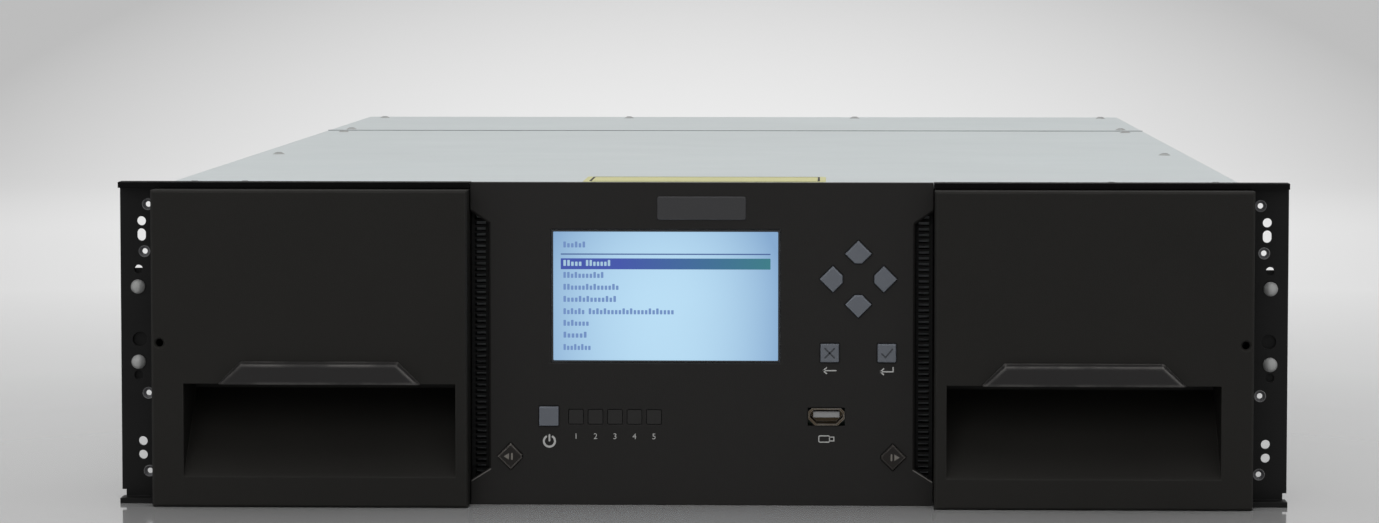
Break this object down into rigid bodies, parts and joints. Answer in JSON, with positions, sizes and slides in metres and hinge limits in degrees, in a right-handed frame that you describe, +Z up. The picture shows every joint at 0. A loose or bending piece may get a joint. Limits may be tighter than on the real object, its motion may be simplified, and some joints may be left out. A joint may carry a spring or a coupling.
{
  "type": "data tape library",
  "caption": "Rack-mount tape library with two slide-out cartridge magazines, a robot in the aisle, front keypad and display, and rear drive, power and controller modules.",
  "frame": {"origin": "centre of the underside, in the plane of the rack ears' front faces", "axes": "+X to the right seen from the front, +Y to the back, +Z up"},
  "size_m": [0.4826, 0.8694, 0.1332],
  "materials": {
    "steel_sheet": "satin zinc-grey steel sheet",
    "black_steel": "black powder coat",
    "bright_steel": "bright steel",
    "black_plastic": "fine-grained black moulding",
    "hood_plastic": "fine-grained dark moulding",
    "key_plastic": "satin grey moulding",
    "screen_glass": "lit display window",
    "lens_plastic": "smoked clear moulding",
    "board": "solder-masked circuit board",
    "frame_plastic": "moulded dark grey frame",
    "cartridge_plastic": "moulded cartridge shell",
    "tongue_plastic": "moulded contact tongue",
    "aluminium_part": "machined aluminium",
    "bush_bronze": "sintered bronze"
  },
  "bodies": {
    "chassis": {"base_pan": "steel_sheet", "left_side_panel": "steel_sheet", "right_side_panel": "steel_sheet", "front_cover": "steel_sheet", "rear_cover": "steel_sheet", "fasteners": "bright_steel", "right_rack_ear": "black_steel", "left_rack_ear": "black_steel", "top_strips": "black_steel", "front_bulkhead": "steel_sheet", "centre_panel": "black_plastic", "vent_grilles": "black_plastic", "screen_window": "screen_glass", "display_module": "aluminium_part", "control_board": "board", "status_lenses": "lens_plastic", "usb_shell": "bright_steel", "usb_tongue": "tongue_plastic", "robot_rails": "aluminium_part", "magazine_guides": "frame_plastic", "bay_frame": "steel_sheet", "rear_panel": "steel_sheet"},
    "left_magazine": {"left_magazine_door": "black_plastic", "left_handle_hood": "hood_plastic", "left_magazine_frame": "frame_plastic", "left_cartridges": "cartridge_plastic"},
    "right_magazine": {"right_magazine_door": "black_plastic", "right_handle_hood": "hood_plastic", "right_magazine_frame": "frame_plastic", "right_cartridges": "cartridge_plastic"},
    "carriage": {"robot_carriage": "aluminium_part", "lift_posts": "bright_steel"},
    "platform": {"lift_platform": "aluminium_part", "lift_bushes": "bush_bronze"},
    "picker": {"turntable": "aluminium_part", "picker_cradle": "frame_plastic"},
    "gripper": {"gripper": "aluminium_part"},
    "controller": {"controller_module": "steel_sheet", "controller_ports": "bright_steel"},
    "up_key": {"up_key": "key_plastic"},
    "down_key": {"down_key": "key_plastic"},
    "left_key": {"left_key": "key_plastic"},
    "right_key": {"right_key": "key_plastic"},
    "back_key": {"back_key": "key_plastic"},
    "enter_key": {"enter_key": "key_plastic"},
    "power_key": {"power_key": "key_plastic"},
    "left_release_key": {"left_release_key": "hood_plastic"},
    "right_release_key": {"right_release_key": "hood_plastic"},
    "drive_1": {"tape_drive_1": "steel_sheet", "drive_sled_1": "steel_sheet"},
    "drive_2": {"tape_drive_2": "steel_sheet", "drive_sled_2": "steel_sheet"},
    "drive_3": {"tape_drive_3": "steel_sheet", "drive_sled_3": "steel_sheet"},
    "power_supply_1": {"power_supply_1": "steel_sheet", "power_inlet_1": "lens_plastic"},
    "supply_fan_1": {"supply_fan_1": "frame_plastic"},
    "power_supply_2": {"power_supply_2": "steel_sheet", "power_inlet_2": "lens_plastic"},
    "supply_fan_2": {"supply_fan_2": "frame_plastic"}
  },
  "joints": [
    {"name": "left_magazine_slide", "type": "slide", "parent": "chassis", "child": "left_magazine", "axis": [0, -1, 0], "range_m": [0, 0.43]},
    {"name": "right_magazine_slide", "type": "slide", "parent": "chassis", "child": "right_magazine", "axis": [0, -1, 0], "range_m": [0, 0.43]},
    {"name": "up_key_press", "type": "slide", "parent": "chassis", "child": "up_key", "axis": [0, 1, 0], "range_m": [0, 0.001], "stiffness_N_per_m": 250},
    {"name": "down_key_press", "type": "slide", "parent": "chassis", "child": "down_key", "axis": [0, 1, 0], "range_m": [0, 0.001], "stiffness_N_per_m": 250},
    {"name": "left_key_press", "type": "slide", "parent": "chassis", "child": "left_key", "axis": [0, 1, 0], "range_m": [0, 0.001], "stiffness_N_per_m": 250},
    {"name": "right_key_press", "type": "slide", "parent": "chassis", "child": "right_key", "axis": [0, 1, 0], "range_m": [0, 0.001], "stiffness_N_per_m": 250},
    {"name": "back_key_press", "type": "slide", "parent": "chassis", "child": "back_key", "axis": [0, 1, 0], "range_m": [0, 0.001], "stiffness_N_per_m": 250},
    {"name": "enter_key_press", "type": "slide", "parent": "chassis", "child": "enter_key", "axis": [0, 1, 0], "range_m": [0, 0.001], "stiffness_N_per_m": 250},
    {"name": "power_key_press", "type": "slide", "parent": "chassis", "child": "power_key", "axis": [0, 1, 0], "range_m": [0, 0.001], "stiffness_N_per_m": 250},
    {"name": "left_release_key_press", "type": "slide", "parent": "chassis", "child": "left_release_key", "axis": [0, 1, 0], "range_m": [0, 0.001], "stiffness_N_per_m": 250},
    {"name": "right_release_key_press", "type": "slide", "parent": "chassis", "child": "right_release_key", "axis": [0, 1, 0], "range_m": [0, 0.001], "stiffness_N_per_m": 250},
    {"name": "robot_travel", "type": "slide", "parent": "chassis", "child": "carriage", "axis": [0, 1, 0], "range_m": [0, 0.324]},
    {"name": "robot_lift", "type": "slide", "parent": "carriage", "child": "platform", "axis": [0, 0, 1], "range_m": [0, 0.0944]},
    {"name": "picker_turn", "type": "hinge", "parent": "platform", "child": "picker", "pos_m": [0, 0.1132, 0.011], "axis": [0, 0, 1], "range_deg": [-90, 90]},
    {"name": "gripper_reach", "type": "slide", "parent": "picker", "child": "gripper", "axis": [0, 1, 0], "range_m": [0, 0.038]},
    {"name": "drive_1_slide", "type": "slide", "parent": "chassis", "child": "drive_1", "axis": [0, 1, 0], "range_m": [0, 0.28]},
    {"name": "drive_2_slide", "type": "slide", "parent": "chassis", "child": "drive_2", "axis": [0, 1, 0], "range_m": [0, 0.28]},
    {"name": "drive_3_slide", "type": "slide", "parent": "chassis", "child": "drive_3", "axis": [0, 1, 0], "range_m": [0, 0.28]},
    {"name": "power_supply_1_slide", "type": "slide", "parent": "chassis", "child": "power_supply_1", "axis": [0, 1, 0], "range_m": [0, 0.225]},
    {"name": "supply_fan_1_spin", "type": "hinge", "parent": "power_supply_1", "child": "supply_fan_1", "pos_m": [0.13, 0.823, 0.0315], "axis": [0, 1, 0], "continuous": true},
    {"name": "power_supply_2_slide", "type": "slide", "parent": "chassis", "child": "power_supply_2", "axis": [0, 1, 0], "range_m": [0, 0.225]},
    {"name": "supply_fan_2_spin", "type": "hinge", "parent": "power_supply_2", "child": "supply_fan_2", "pos_m": [0.13, 0.823, 0.0949], "axis": [0, 1, 0], "continuous": true},
    {"name": "controller_slide", "type": "slide", "parent": "chassis", "child": "controller", "axis": [0, 1, 0], "range_m": [0, 0.185]}
  ]
}
